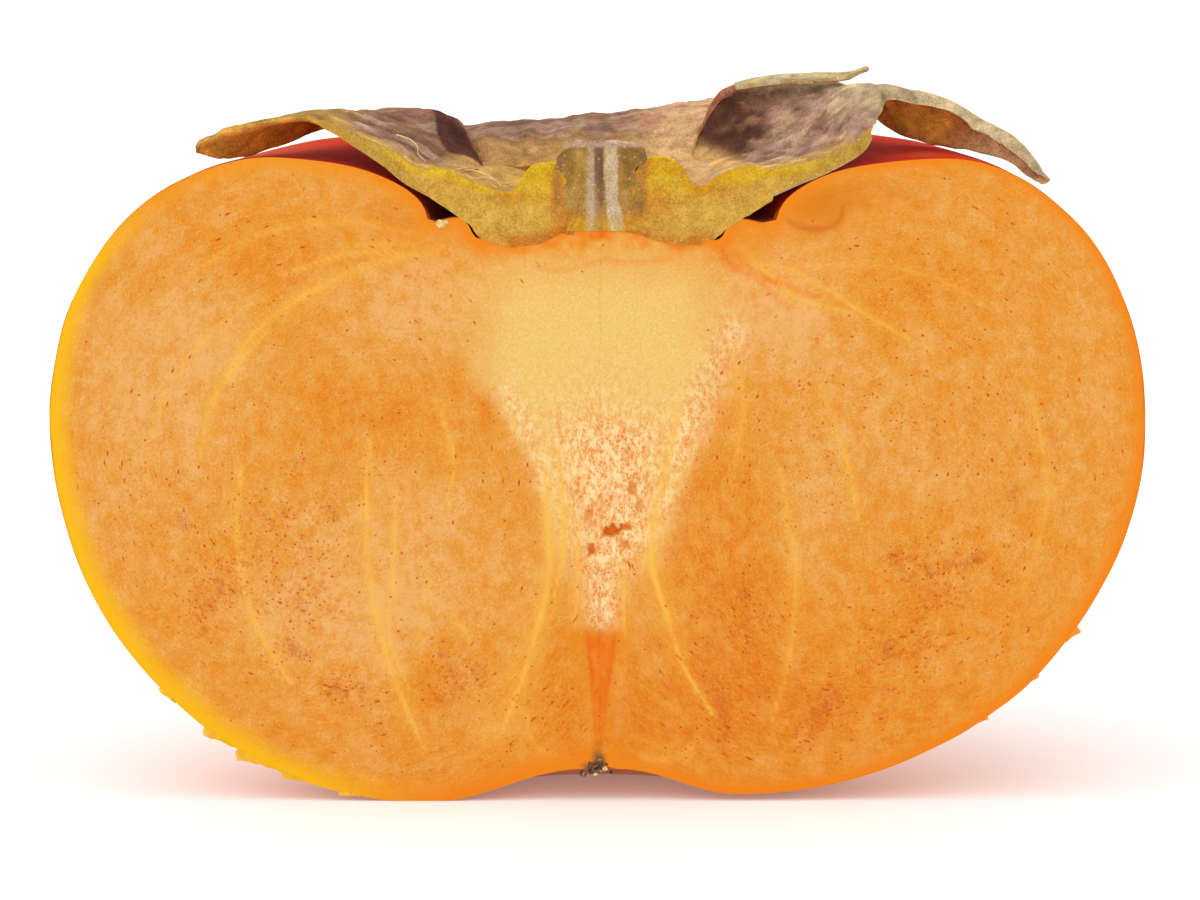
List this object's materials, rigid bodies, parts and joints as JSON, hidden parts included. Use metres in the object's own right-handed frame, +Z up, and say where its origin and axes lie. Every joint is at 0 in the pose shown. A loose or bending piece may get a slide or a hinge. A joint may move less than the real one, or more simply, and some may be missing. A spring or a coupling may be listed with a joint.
{
  "type": "halved persimmon",
  "caption": "Half of a flat-shouldered ripe persimmon, cut down through the stalk, with its dry calyx lobes and stalk stub, standing on its blossom end.",
  "frame": {"origin": "middle of the whole part's base, on the plane that the fruit stands on", "axes": "+Z up along the line from blossom end to stalk, +X to the right along the cut face, +Y from the cut face into the fruit, so the cut face looks along -Y"},
  "size_m": [0.0778, 0.0386, 0.0526],
  "materials": {
    "persimmon_flesh": "satin",
    "persimmon_skin": "gloss",
    "calyx_flesh": "satin",
    "dry_sepal": "matte",
    "stalk_wood": "matte",
    "dry_blossom": "matte"
  },
  "bodies": {
    "root": {"fruit_half": "persimmon_flesh", "calyx_disc": "calyx_flesh", "sepal_left": "dry_sepal", "sepal_back": "dry_sepal", "sepal_right": "dry_sepal", "stalk_stub": "stalk_wood", "blossom_remnant": "dry_blossom"}
  },
  "joints": []
}
